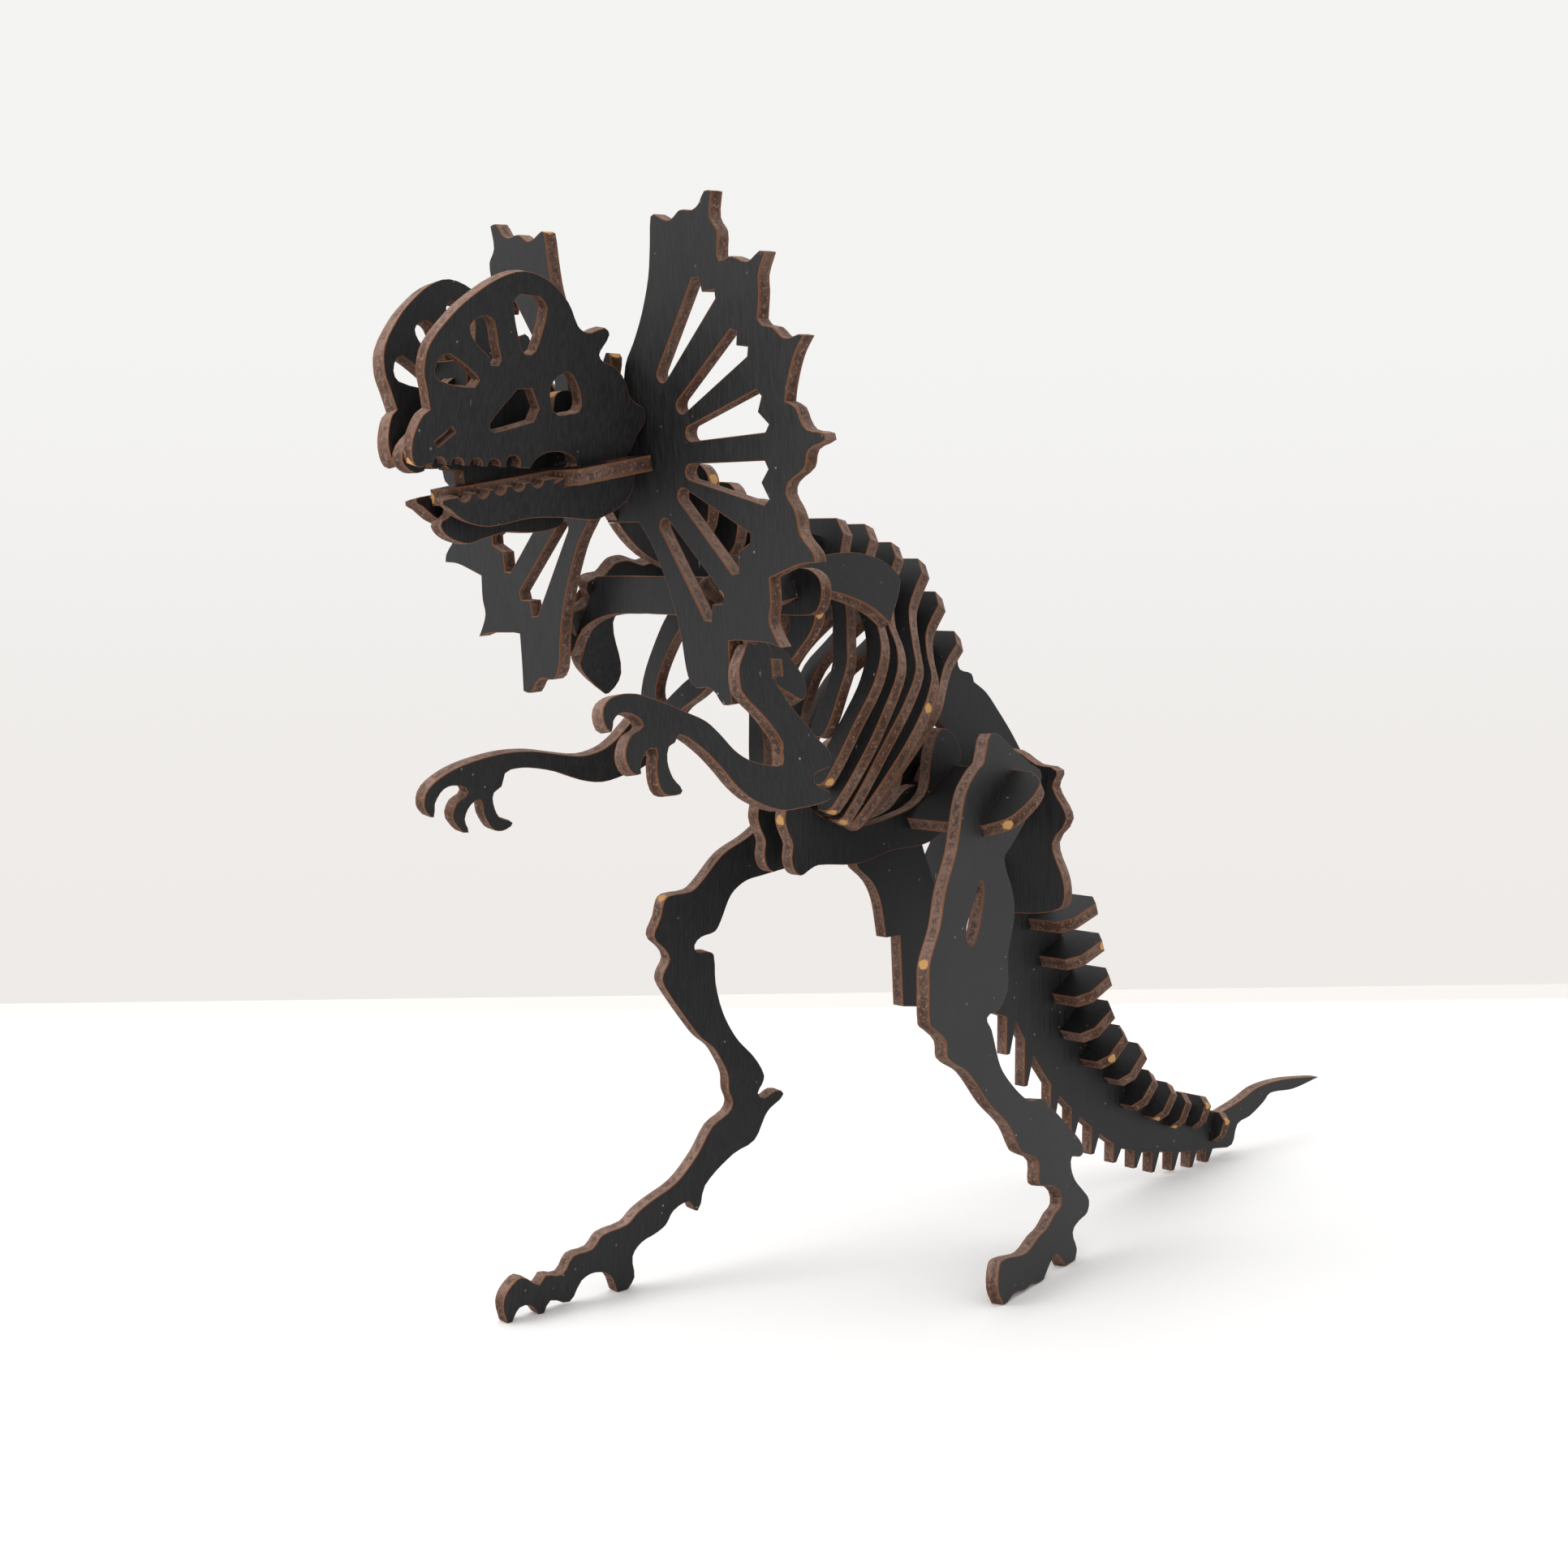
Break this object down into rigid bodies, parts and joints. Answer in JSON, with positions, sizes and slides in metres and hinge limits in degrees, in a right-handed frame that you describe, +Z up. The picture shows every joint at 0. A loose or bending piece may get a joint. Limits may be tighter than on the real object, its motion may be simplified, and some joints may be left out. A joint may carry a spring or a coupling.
{
  "type": "wooden dinosaur skeleton puzzle",
  "caption": "Slot-together dinosaur skeleton cut from black-faced fibreboard sheet, with a slotted neck frill, rib hoops, striding hind legs and a long pronged tail.",
  "frame": {"origin": "on the floor under the middle of the part", "axes": "+Z up, the head towards -X, the animal's left side towards -Y"},
  "size_m": [0.3176, 0.1142, 0.227],
  "materials": {
    "sheet": "matte"
  },
  "bodies": {
    "root": {"skull_left": "sheet", "skull_right": "sheet", "head_core": "sheet", "crest_bar": "sheet", "occiput": "sheet", "jaw_deck": "sheet", "jaw_left": "sheet", "jaw_right": "sheet", "jaw_centre": "sheet", "frill_left": "sheet", "frill_right": "sheet", "spine": "sheet", "neck_disc_1": "sheet", "neck_disc_2": "sheet", "neck_disc_3": "sheet", "neck_disc_4": "sheet", "shoulder_cross": "sheet", "arm_cross": "sheet", "chest_hoop": "sheet", "scapula_left": "sheet", "scapula_right": "sheet", "arm_left": "sheet", "arm_right": "sheet", "rib_1": "sheet", "rib_2": "sheet", "rib_3": "sheet", "rib_4": "sheet", "rib_5": "sheet", "rib_6": "sheet", "belly_left": "sheet", "belly_right": "sheet", "pubis": "sheet", "hip_cross_front": "sheet", "hip_cross_rear": "sheet", "leg_left": "sheet", "leg_right": "sheet", "tail": "sheet", "tail_disc_1": "sheet", "tail_disc_2": "sheet", "tail_disc_3": "sheet", "tail_disc_4": "sheet", "tail_disc_5": "sheet", "tail_disc_6": "sheet", "tail_disc_7": "sheet", "tail_disc_8": "sheet", "tail_disc_9": "sheet", "tail_disc_10": "sheet", "tail_disc_11": "sheet"}
  },
  "joints": []
}
